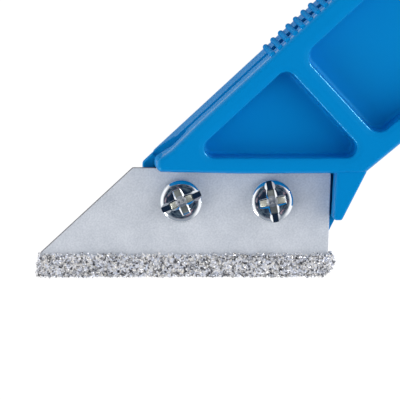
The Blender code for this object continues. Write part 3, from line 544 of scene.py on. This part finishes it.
def turned(profile, sides):
    """A solid of revolution from its profile of radius and height."""
    mesh = bmesh.new()
    verts = [mesh.verts.new((radius, 0, level)) for radius, level in profile]
    edges = [mesh.edges.new(pair) for pair in zip(verts, verts[1:])]
    bmesh.ops.spin(mesh, geom=verts + edges, cent=(0, 0, 0), axis=(0, 0, 1), dvec=(0, 0, 0),
                   angle=math.tau, steps=sides, use_merge=True)
    bmesh.ops.remove_doubles(mesh, verts=mesh.verts, dist=MM / 1000)
    bmesh.ops.recalc_face_normals(mesh, faces=mesh.faces)
    return mesh


def thread_profile(low, high, crest, depth):
    """A thread's outline, drawn as rings a pitch apart, because its lead is too fine to show."""
    points = []
    turns = round((high - low) / THREAD_PITCH)
    for k in range(turns):
        level = low + (high - low) * k / turns
        points.append((crest - depth, level))
        points.append((crest, level + (high - low) / turns / 2))
    return points + [(crest - depth, high)]


# Bright zinc plate over steel: a mirror-like skin with a faint haze and small dull patches. The
# floor of the cross is matt, and a darker olive grey is painted on it as shade in the recess,
# except round its tip.
ZINC_PALE = "F2F4F6"
ZINC_DULL = "DCE0E4"
RECESS_SHADE_GREY = "C2C3B8"
PUNCH_REACH = 2.1 * MM
PUNCH_TIP = 0.95 * MM
PUNCH_MIDDLE = 12.3 * MM
PUNCH_HALF = 0.95 * MM
zinc, tree, shader, place = new_finish("bright_zinc_plate")
haze = add_node(tree, "ShaderNodeTexNoise", {"Vector": place, "Scale": 1 / (1.1 * MM), "Detail": 4})
level = add_node(tree, "ShaderNodeVectorMath", {0: place, 1: (1, 1, 0)}, operation="MULTIPLY")
reaches = []
for along, above in SCREW_PLACES:
    axis = on_blade_axes(along, above).to_3d()
    reaches.append(add_node(tree, "ShaderNodeVectorMath", {0: level.outputs[0], 1: axis},
                            operation="DISTANCE").outputs["Value"])
reach = add_node(tree, "ShaderNodeMath", {0: reaches[0], 1: reaches[1]}, operation="MINIMUM")
in_cross = add_node(tree, "ShaderNodeMath", {0: reach.outputs[0], 1: PUNCH_REACH},
                    operation="LESS_THAN")
height = add_node(tree, "ShaderNodeSeparateXYZ", {0: place})
in_head = add_node(tree, "ShaderNodeMath", {0: height.outputs["Z"], 1: PUNCH_MIDDLE,
                                            2: PUNCH_HALF}, operation="COMPARE")
matt = add_node(tree, "ShaderNodeMath", {0: in_cross.outputs[0], 1: in_head.outputs[0]},
                operation="MULTIPLY")
at_tip = add_node(tree, "ShaderNodeMath", {0: reach.outputs[0], 1: PUNCH_TIP},
                  operation="LESS_THAN")
# Painted shade: the cross's floor, away from its tip, takes a darker olive grey.
recess_shade = add_node(tree, "ShaderNodeMath", {0: matt.outputs[0], 1: at_tip.outputs[0]},
                 operation="SUBTRACT", use_clamp=True)
tint = add_node(tree, "ShaderNodeMix", {0: haze.outputs[0], 6: linear_colour(ZINC_PALE),
                                        7: linear_colour(ZINC_DULL)}, data_type="RGBA")
tint = add_node(tree, "ShaderNodeMix", {0: recess_shade.outputs[0], 6: tint.outputs[2],
                                        7: linear_colour(RECESS_SHADE_GREY)}, data_type="RGBA")
gloss = add_node(tree, "ShaderNodeMapRange", {0: haze.outputs[0], 3: 0.04, 4: 0.14})
gloss = add_node(tree, "ShaderNodeMix", {0: matt.outputs[0], 2: gloss.outputs[0], 3: 0.36})
ripple = add_node(tree, "ShaderNodeTexNoise", {"Vector": place, "Scale": 1 / (0.5 * MM),
                                               "Detail": 2})
bump = add_node(tree, "ShaderNodeBump", {"Height": ripple.outputs[0], "Strength": 0.5,
                                         "Distance": 0.01 * MM})
tree.links.new(tint.outputs[2], shader.inputs["Base Color"])
tree.links.new(gloss.outputs[0], shader.inputs["Roughness"])
tree.links.new(bump.outputs[0], shader.inputs["Normal"])
shader.inputs["Metallic"].default_value = 1.0

corner = NUT_FLATS / 2 / math.cos(math.pi / 6)
low, high = NUT_TOP - NUT_HEIGHT, NUT_TOP
lead_radius = BORE_RADIUS + THREAD_LEAD
for name, (along, above) in zip(("front_nut", "rear_nut"), SCREW_PLACES):
    hexagon = bmesh.new()
    round_bar(hexagon, (0, 0), corner, low, high, 6)
    crown = turned([(0, low - CHAMFER_OVER), (NUT_FACE, low - CHAMFER_OVER),
                    (CHAMFER_END, low + NUT_CHAMFER), (CHAMFER_END, high - NUT_CHAMFER),
                    (NUT_FACE, high + CHAMFER_OVER), (0, high + CHAMFER_OVER)], 96)
    thread = thread_profile(low + THREAD_LEAD, high - THREAD_LEAD, BORE_RADIUS, THREAD_DEPTH / 2)
    bore = turned([(0, low - MM), (lead_radius, low - MM), (lead_radius, low)] + thread
                  + [(lead_radius, high), (lead_radius, high + MM), (0, high + MM)], 48)
    nut = new_piece("hex_" + name, hexagon, zinc)
    carve(nut, [(crown, "INTERSECT"), (bore, "DIFFERENCE")])
    nut.data.transform(blade_place @ Matrix.Translation((along * MM, above * MM, 0)))
    smooth_rounds(nut, 25)
    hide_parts(name)
    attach(nut, "root")

# The blade is a plate of carbon steel, 1.5 mm thick, stamped to shape with a raked front, pierced
# for the two screws and blasted to a fine grey. Its top edge sits in a rebate of the base bar.
BLADE_BACK = 9.35 * MM
BLADE_EDGE = 0.1 * MM
BLADE_LOW = -16.9
TIP_REACH = -30.92
TIP_RISE = 3.1
TIP_LEAN = math.tan(math.radians(8))
SHOULDER_REACH = -15.62


def blade_front(above):
    """How far forward the blade's blunt tip reaches at a height above the base."""
    return TIP_REACH - (BLADE_LOW + TIP_RISE - above) * TIP_LEAN


def flat(along, above):
    """A point of the blade on its own axes."""
    return Vector((along * MM, above * MM))


# Fine-blasted steel: grey and nearly even, broken up by tiny pits that scatter the light and are
# drawn 0.3 mm across, coarser than real ones, so that they show. The edges are painted dark grey as
# shade.
STEEL_LIGHT = "E6E9EE"
STEEL_DARK = "C6CBD2"
EDGE_SHADE_GREY = "5A5A60"
PIT_SHARE = 0.6
steel, tree, shader, place = new_finish("blasted_carbon_steel")
cloud = add_node(tree, "ShaderNodeTexNoise", {"Vector": place, "Scale": 1 / (4 * MM), "Detail": 4})
pits = add_node(tree, "ShaderNodeTexNoise", {"Vector": place, "Scale": 1 / (0.3 * MM), "Detail": 3})
mottle = add_node(tree, "ShaderNodeMix", {0: PIT_SHARE, 2: cloud.outputs[0], 3: pits.outputs[0]})
spread = add_node(tree, "ShaderNodeMapRange", {0: mottle.outputs[0], 1: 0.3, 2: 0.7})
tint = add_node(tree, "ShaderNodeMix", {0: spread.outputs[0], 6: linear_colour(STEEL_LIGHT),
                                        7: linear_colour(STEEL_DARK)}, data_type="RGBA")
bump = add_node(tree, "ShaderNodeBump", {"Height": pits.outputs[0], "Strength": 0.5,
                                         "Distance": 0.02 * MM})
height = add_node(tree, "ShaderNodeSeparateXYZ", {0: place})
blade_middle = (BLADE_BACK + BLADE_FACE) / 2
edge_shade_half = (BLADE_FACE - BLADE_BACK) / 2 - BLADE_EDGE
# Painted shade: the blade's edges, between its two faces, are coloured dark grey.
edge_shade = add_node(tree, "ShaderNodeMath", {0: height.outputs["Z"], 1: blade_middle,
                                            2: edge_shade_half}, operation="COMPARE")
tint = add_node(tree, "ShaderNodeMix", {0: edge_shade.outputs[0], 6: tint.outputs[2],
                                        7: linear_colour(EDGE_SHADE_GREY)}, data_type="RGBA")
tree.links.new(tint.outputs[2], shader.inputs["Base Color"])
tree.links.new(bump.outputs[0], shader.inputs["Normal"])
shader.inputs["Metallic"].default_value = 0.15
shader.inputs["Roughness"].default_value = 0.6

plate = bmesh.new()
blade_outline = [(flat(blade_front(BLADE_LOW), BLADE_LOW), 1.2 * MM),
                 (flat(blade_back(BLADE_LOW), BLADE_LOW), 0.4 * MM),
                 (flat(blade_back(BLADE_RISE), BLADE_RISE), 0.4 * MM),
                 (flat(SHOULDER_REACH, BLADE_RISE), 0.4 * MM),
                 (flat(TIP_REACH, BLADE_LOW + TIP_RISE), 0.4 * MM)]
edge_round = quarter_round(BLADE_EDGE, BLADE_EDGE, 3, mouth=False)
slab(plate, blade_outline, BLADE_BACK, BLADE_FACE, edge_round, edge_round)
piercings = bmesh.new()
for along, above in SCREW_PLACES:
    round_bar(piercings, flat(along, above), SCREW_HOLE, BLADE_BACK - OVERRUN,
              BLADE_FACE + OVERRUN, 64)
blade = new_piece("stamped_blade", plate, steel)
carve(blade, [(piercings, "DIFFERENCE")])
blade.data.transform(blade_place)
smooth_rounds(blade, 30)
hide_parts("blade")
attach(blade, "root")

# The grit is crushed tungsten carbide, brazed in a band over both faces and the edge of the blade.
# The grains are about 0.4 mm across and sharp, and a few hang past the ends of the band.
GRIT_LOW = -17.8
GRIT_HIGH = -14.1
COAT_NEAR = 11.38
COAT_FAR = 8.82
BAND_ROUND = (0.3 * MM, 0.2 * MM)
GRAIN_PITCH = 0.33
GRAIN_SMALL = 0.13
GRAIN_LARGE = 0.27
GRAIN_SEED = 11
LOT_VERTS = 1500
RIM_GAPS = 0.35
FRONT_PROUD = 0.4
REAR_PROUD = 0.65
REAR_BULGE = 0.7
REAR_CUT = 1.4

# Crushed carbide in nickel braze: each grain is painted pale or dark at random, as painted glints
# and painted shade among the grains, and the pale ones take a warm or cool tint of their own.
GRAIN_GLINT_WARM = "FFFAF2"
GRAIN_GLINT_COOL = "ECF0FC"
GRAIN_SHADE_DARK = "34353B"
carbide, tree, shader, place = new_finish("brazed_tungsten_carbide")
grains = add_node(tree, "ShaderNodeTexVoronoi", {"Vector": place, "Scale": 1 / (0.32 * MM)})
shade = add_node(tree, "ShaderNodeSeparateColor", {0: grains.outputs["Color"]})
spread = add_node(tree, "ShaderNodeMapRange", {0: shade.outputs[0], 1: 0.42, 2: 1.0})
glint_tint = add_node(tree, "ShaderNodeMix", {0: shade.outputs[1], 6: linear_colour(GRAIN_GLINT_WARM),
                                        7: linear_colour(GRAIN_GLINT_COOL)}, data_type="RGBA")
# Painted light: pale grains stand in for glints and dark ones for shade.
tint = add_node(tree, "ShaderNodeMix", {0: spread.outputs[0], 6: glint_tint.outputs[2],
                                        7: linear_colour(GRAIN_SHADE_DARK)}, data_type="RGBA")
tree.links.new(tint.outputs[2], shader.inputs["Base Color"])
shader.inputs["Metallic"].default_value = 0.1
shader.inputs["Roughness"].default_value = 0.28

band = bmesh.new()
slab(band, [(flat(blade_front(GRIT_LOW) + 0.5, GRIT_LOW + 0.35), 0.6 * MM),
            (flat(blade_back(GRIT_LOW) - 0.3, GRIT_LOW + 0.35), 0.5 * MM),
            (flat(blade_back(GRIT_HIGH) + 0.6, GRIT_HIGH - 0.1), 0.2 * MM),
            (flat(blade_front(GRIT_HIGH) + 0.05, GRIT_HIGH - 0.1), 0.3 * MM)],
     (COAT_FAR + 0.05) * MM, (COAT_NEAR - 0.05) * MM,
     quarter_round(*BAND_ROUND, 3, mouth=False), quarter_round(*BAND_ROUND, 3, mouth=False))
dice = random.Random(GRAIN_SEED)
lots = []


def add_grain(along, above, level):
    """One crushed grain: a small faceted lump, stretched and turned at random."""
    if not lots or len(lots[-1].verts) > LOT_VERTS:
        lots.append(bmesh.new())
    size = dice.uniform(GRAIN_SMALL, GRAIN_LARGE) * MM
    angle = dice.uniform(0, math.tau)
    spin = Matrix.Rotation(angle, 4, Vector([dice.uniform(-1, 1) for _ in range(3)]))
    stretch = Matrix.Diagonal((size * dice.uniform(0.7, 1.2), size * dice.uniform(0.6, 1.0),
                               size, 1))
    place = Matrix.Translation((along * MM, above * MM, level * MM)) @ spin @ stretch
    grain = bmesh.ops.create_icosphere(lots[-1], subdivisions=1, radius=1, matrix=place)["verts"]
    for vert in grain:
        vert.co += Vector([dice.uniform(-0.25, 0.25) * size for _ in range(3)])


def band_ends(above):
    """Where the band starts and ends at a height: the rear end bulges in its upper half."""
    share = min(max((above - GRIT_LOW) / (GRIT_HIGH - GRIT_LOW), 0), 1)
    cut = (1 - share) ** 2
    front = blade_front(above) - FRONT_PROUD + 0.2 * share + FRONT_PROUD * cut
    back = blade_back(above) + REAR_PROUD + REAR_BULGE * math.sin(math.pi * share) - REAR_CUT * cut
    return front, back


rows = round((GRIT_HIGH - GRIT_LOW) / GRAIN_PITCH)
for row in range(rows + 1):
    above = GRIT_LOW + 0.1 + (GRIT_HIGH - GRIT_LOW) * row / rows
    front, back = band_ends(above)
    columns = round((back - front) / GRAIN_PITCH)
    for column in range(columns + 1):
        along = front + (back - front) * column / columns
        for level in (COAT_NEAR, COAT_FAR):
            if row == rows and dice.random() < RIM_GAPS:
                continue
            add_grain(along + dice.uniform(-0.18, 0.18), above + dice.uniform(-0.2, 0.2),
                      level + dice.uniform(-0.1, 0.12))
depth_rows = round((COAT_NEAR - COAT_FAR) / GRAIN_PITCH)
for layer in range(1, depth_rows):
    level = COAT_FAR + (COAT_NEAR - COAT_FAR) * layer / depth_rows
    front, back = band_ends(GRIT_LOW)
    columns = round((back - front) / GRAIN_PITCH)
    for column in range(columns + 1):
        along = front + (back - front) * column / columns
        add_grain(along + dice.uniform(-0.15, 0.15),
                  GRIT_LOW + 0.1 + dice.uniform(-0.15, 0.15), level)
    for row in range(1, rows + 1):
        above = GRIT_LOW + (GRIT_HIGH - GRIT_LOW) * row / rows
        front, back = band_ends(above)
        add_grain(front + dice.uniform(-0.05, 0.15), above + dice.uniform(-0.15, 0.15), level)
        add_grain(back + dice.uniform(-0.15, 0.1), above + dice.uniform(-0.15, 0.15), level)
for lot in lots:
    grains = bpy.data.meshes.new("grains")
    lot.to_mesh(grains)
    lot.free()
    band.from_mesh(grains)
    bpy.data.meshes.remove(grains)
bmesh.ops.transform(band, matrix=blade_place, verts=band.verts)
grit = new_piece("carbide_band", band, carbide)
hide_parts("carbide_grit")
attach(grit, "root")

# The screws are M3.5 pan-head machine screws of zinc-plated steel, cold-headed with a slot and a
# cross, with rolled threads. They pass through the blade and the tongue into the nuts.
HEAD_SEAT = 11.15 * MM
HEAD_HEIGHT = 2.4 * MM
HEAD_SIDE = 1.1 * MM
HEAD_RADIUS = 3.63 * MM
HEAD_EDGE = 0.4 * MM
EDGE_STEPS = 4
DOME_STEPS = 25
DOME_FULLNESS = 0.75
SHANK_RADIUS = 1.75 * MM
NECK_RADIUS = 1.65 * MM
NECK_START = 9.0 * MM
SCREW_END = 3.15 * MM
SCREW_POINT = 0.45 * MM
SLOT_TURNS = (math.radians(24), math.radians(101))
SLOT = ((0.84, 0.92), (-1, 1.05))
SLOT_REACH = 4.2
SLOT_MOUTH = [(1.4, ((0.15, 0.9), (-1, 6.1))), (3.8, ((0.8, 0.9), (-1, 9.0)))]
CROSS_DEPTHS = (1.7, 1.66)
CROSS_REACH = 2.2
CROSS_END = ((0.5, 0.95), (-1, 1.2))
head_top = HEAD_SEAT + HEAD_HEIGHT


def wedge(turn, sections):
    """A recess's cutter: a hull round cross-sections, each with a reach and its widths by depth."""
    mesh = bmesh.new()
    for reach, widths in sections:
        for deep, wide in widths:
            for side in (-1, 1):
                mesh.verts.new((reach * MM, side * wide * MM / 2, head_top - deep * MM))
    hull = bmesh.ops.convex_hull(mesh, input=list(mesh.verts))
    spare = {item for item in hull["geom_interior"] + hull["geom_unused"]
             if isinstance(item, bmesh.types.BMVert)}
    bmesh.ops.delete(mesh, geom=list(spare), context="VERTS")
    bmesh.ops.recalc_face_normals(mesh, faces=mesh.faces)
    bmesh.ops.rotate(mesh, verts=mesh.verts, cent=(0, 0, 0), matrix=Matrix.Rotation(turn, 3, "Z"))
    return mesh


def both_ways(sections):
    """A cutter's sections on one side of the screw's axis, with their mirror images before them."""
    return [(-reach, widths) for reach, widths in reversed(sections) if reach] + sections


profile = [(0, SCREW_END), (SHANK_RADIUS - SCREW_POINT, SCREW_END)]
profile += thread_profile(SCREW_END + THREAD_LEAD, NECK_START, SHANK_RADIUS, THREAD_DEPTH)
profile += [(NECK_RADIUS, NECK_START + THREAD_LEAD), (NECK_RADIUS, HEAD_SEAT),
            (HEAD_RADIUS - HEAD_EDGE, HEAD_SEAT)]
for k in range(1, EDGE_STEPS + 1):
    sweep = math.pi / 2 * k / EDGE_STEPS
    profile.append((HEAD_RADIUS - HEAD_EDGE * (1 - math.sin(sweep)),
                    HEAD_SEAT + HEAD_EDGE * (1 - math.cos(sweep))))
for k in range(DOME_STEPS):
    sweep = math.pi / 2 * k / DOME_STEPS
    rise = (HEAD_HEIGHT - HEAD_SIDE) * math.sin(sweep) ** DOME_FULLNESS
    profile.append((HEAD_RADIUS * math.cos(sweep) ** DOME_FULLNESS, HEAD_SEAT + HEAD_SIDE + rise))
profile += [(0, head_top)]
for name, (along, above), slot_turn in zip(("front_screw", "rear_screw"), SCREW_PLACES, SLOT_TURNS):
    cutters = [wedge(0, both_ways([(SLOT_REACH, SLOT)])), wedge(0, SLOT_MOUTH),
               wedge(math.pi, SLOT_MOUTH)]
    for turn, deep in zip((0, math.pi / 2), CROSS_DEPTHS):
        arms = [(0, ((deep, 1.05),)), (0.9, ((deep - 0.55, 1.02),)), (1.8, ((deep - 0.75, 1.0),)),
                (CROSS_REACH, CROSS_END)]
        mouths = [(2.15, ((deep - 1.4, 1.15),)), (3.7, ((-1, 4.2),))]
        cutters += [wedge(turn, both_ways(arms)), wedge(turn, both_ways(mouths))]
    screw = new_piece("machine_" + name, turned(profile, 96), zinc)
    carve(screw, [(cutter, "DIFFERENCE") for cutter in cutters])
    turn = Matrix.Rotation(slot_turn, 4, "Z")
    screw.data.transform(blade_place @ Matrix.Translation((along * MM, above * MM, 0)) @ turn)
    smooth_rounds(screw, 28)
    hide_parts(name)
    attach(screw, "root")

# The room is a white table under soft light from the right, the left and above, with two low lamps
# that only give highlights. Its walls are white beside the picture and grey above and below it, and
# the dim, blotched ceiling over the camera is what the screws' heads mirror.
FLOOR_SIDE = 4.0
FLOOR_DROP = 0.02 * MM
FLOOR_WHITE = "F4F4F4"
FLOOR_GLOW = 1.09
GLOW_SHARE = 0.9
floor_mesh = bmesh.new()
bmesh.ops.create_grid(floor_mesh, x_segments=1, y_segments=1, size=FLOOR_SIDE / 2,
                      matrix=Matrix.Translation((0, 0, -FLOOR_DROP)))
table = bpy.data.materials.new("white_table")
table.use_nodes = True
tree = table.node_tree
shader = tree.nodes["Principled BSDF"]
shader.inputs["Base Color"].default_value = linear_colour(FLOOR_WHITE)
shader.inputs["Roughness"].default_value = 0.8
rays = add_node(tree, "ShaderNodeLightPath")
seen = add_node(tree, "ShaderNodeMath", {0: rays.outputs["Is Camera Ray"],
                                         1: rays.outputs["Is Glossy Ray"]}, operation="ADD")
seen = add_node(tree, "ShaderNodeMath", {0: seen.outputs[0],
                                         1: rays.outputs["Is Transmission Ray"]},
                operation="ADD", use_clamp=True)
share = add_node(tree, "ShaderNodeMath", {0: seen.outputs[0], 1: GLOW_SHARE},
                 operation="MULTIPLY")
white = add_node(tree, "ShaderNodeEmission", {"Color": (1, 1, 1, 1), "Strength": FLOOR_GLOW})
mixed = add_node(tree, "ShaderNodeMixShader", {0: share.outputs[0], 1: shader.outputs[0],
                                               2: white.outputs[0]})
tree.links.new(mixed.outputs[0], tree.nodes["Material Output"].inputs["Surface"])
floor = new_piece("table_top", floor_mesh, table)

WALL_WHITE = "FCFDFF"
WALL_GREY = "959CA6"
CEILING_DARK = "162437"
CEILING_PALE = "596976"
CEILING_PINK = "9C8490"
ROOM_LIGHT = 1.2
photo_turn = Matrix.Rotation(GRIP_TURN, 3, "Z")
room = bpy.data.worlds.new("studio")
bpy.context.scene.world = room
room.use_nodes = True
tree = room.node_tree
way = add_node(tree, "ShaderNodeTexCoord").outputs["Generated"]
height = add_node(tree, "ShaderNodeSeparateXYZ", {0: way})
overhead = add_node(tree, "ShaderNodeMapRange", {0: height.outputs["Z"], 1: 0.55, 2: 0.78},
                    interpolation_type="SMOOTHSTEP")
blotch = add_node(tree, "ShaderNodeTexNoise", {"Vector": way, "Scale": 9.0, "Detail": 3})
spread = add_node(tree, "ShaderNodeMapRange", {0: blotch.outputs[0], 1: 0.42, 2: 0.66})
ceiling = add_node(tree, "ShaderNodeMix", {0: spread.outputs[0], 6: linear_colour(CEILING_DARK),
                                           7: linear_colour(CEILING_PALE)}, data_type="RGBA")
blotch = add_node(tree, "ShaderNodeTexNoise", {"Vector": way, "Scale": 5.0, "Detail": 1})
spread = add_node(tree, "ShaderNodeMapRange", {0: blotch.outputs[0], 1: 0.6, 2: 0.7})
ceiling = add_node(tree, "ShaderNodeMix", {0: spread.outputs[0], 6: ceiling.outputs[2],
                                           7: linear_colour(CEILING_PINK)}, data_type="RGBA")
zenith = add_node(tree, "ShaderNodeMapRange", {0: height.outputs["Z"], 1: 0.93, 2: 0.98})
ceiling = add_node(tree, "ShaderNodeMix", {0: zenith.outputs[0], 6: ceiling.outputs[2],
                                           7: linear_colour(CEILING_DARK)}, data_type="RGBA")
sideways = add_node(tree, "ShaderNodeVectorMath", {0: way, 1: photo_turn @ Vector((1, 0, 0))},
                    operation="DOT_PRODUCT")
sideways = add_node(tree, "ShaderNodeMath", {0: sideways.outputs["Value"]}, operation="ABSOLUTE")
sideways = add_node(tree, "ShaderNodeMapRange", {0: sideways.outputs[0], 1: 0.45, 2: 0.8},
                    interpolation_type="SMOOTHSTEP")
walls = add_node(tree, "ShaderNodeMix", {0: sideways.outputs[0], 6: linear_colour(WALL_GREY),
                                         7: linear_colour(WALL_WHITE)}, data_type="RGBA")
walls = add_node(tree, "ShaderNodeMix", {0: overhead.outputs[0], 6: walls.outputs[2],
                                         7: ceiling.outputs[2]}, data_type="RGBA")
tree.links.new(walls.outputs[2], tree.nodes["Background"].inputs["Color"])
tree.nodes["Background"].inputs["Strength"].default_value = ROOM_LIGHT

PHOTO_SIDE = 400
PIXELS_PER_METRE = 6000
BLADE_ORIGIN_PIXEL = (228.6, 173.9)
CAMERA_DISTANCE = 1.2
CAMERA_LEAN = (-0.080, 0.113, 1)
CAMERA_ROLL = math.radians(0.45)
SENSOR_WIDTH = 36
LAMP_DISTANCE = 1.2
blade_origin = on_blade_axes(0, 0)
aim = Vector((blade_origin.x, blade_origin.y, THICKNESS))
aim += photo_turn @ Vector(((PHOTO_SIDE / 2 - BLADE_ORIGIN_PIXEL[0]) / PIXELS_PER_METRE,
                            (BLADE_ORIGIN_PIXEL[1] - PHOTO_SIDE / 2) / PIXELS_PER_METRE, 0))


def add_softbox(name, towards, side, watts, sheen):
    """A square lamp in a direction of the photograph, which lights or only gives highlights."""
    lamp = bpy.data.lights.new(name, "AREA")
    lamp.energy = watts
    lamp.size = side
    item = bpy.data.objects.new(name, lamp)
    bpy.context.scene.collection.objects.link(item)
    way = (photo_turn @ Vector(towards)).normalized()
    item.location = aim + way * LAMP_DISTANCE
    item.rotation_euler = way.to_track_quat("Z", "Y").to_euler()
    item.visible_glossy = sheen
    item.visible_diffuse = not sheen


add_softbox("key_softbox", (0.9, 0.1, 0.8), 1.1, 6.3, sheen=False)
add_softbox("fill_softbox", (-0.75, -0.5, 0.8), 0.9, 4.6, sheen=False)
add_softbox("top_softbox", (0.1, 0.1, 1), 1.0, 2.0, sheen=False)
add_softbox("rim_softbox", (0.86, 0.48, 0.17), 0.3, 22, sheen=True)
add_softbox("edge_softbox", (-0.7, -0.65, 0.2), 0.35, 12, sheen=True)

back = (photo_turn @ Vector(CAMERA_LEAN)).normalized()
right = (photo_turn @ Vector((0, 1, 0))).cross(back).normalized()
up = back.cross(right)
rolled_right = right * math.cos(CAMERA_ROLL) + up * math.sin(CAMERA_ROLL)
rolled_up = up * math.cos(CAMERA_ROLL) - right * math.sin(CAMERA_ROLL)
lens = bpy.data.cameras.new("photo_camera")
lens.sensor_width = SENSOR_WIDTH
lens.lens = PIXELS_PER_METRE * CAMERA_DISTANCE * SENSOR_WIDTH / PHOTO_SIDE
camera = bpy.data.objects.new("photo_camera", lens)
bpy.context.scene.collection.objects.link(camera)
camera.matrix_world = Matrix.Translation(aim + back * CAMERA_DISTANCE) @ Matrix(
    (rolled_right, rolled_up, back)).transposed().to_4x4()
bpy.context.scene.camera = camera
bpy.context.scene.view_settings.view_transform = "Standard"
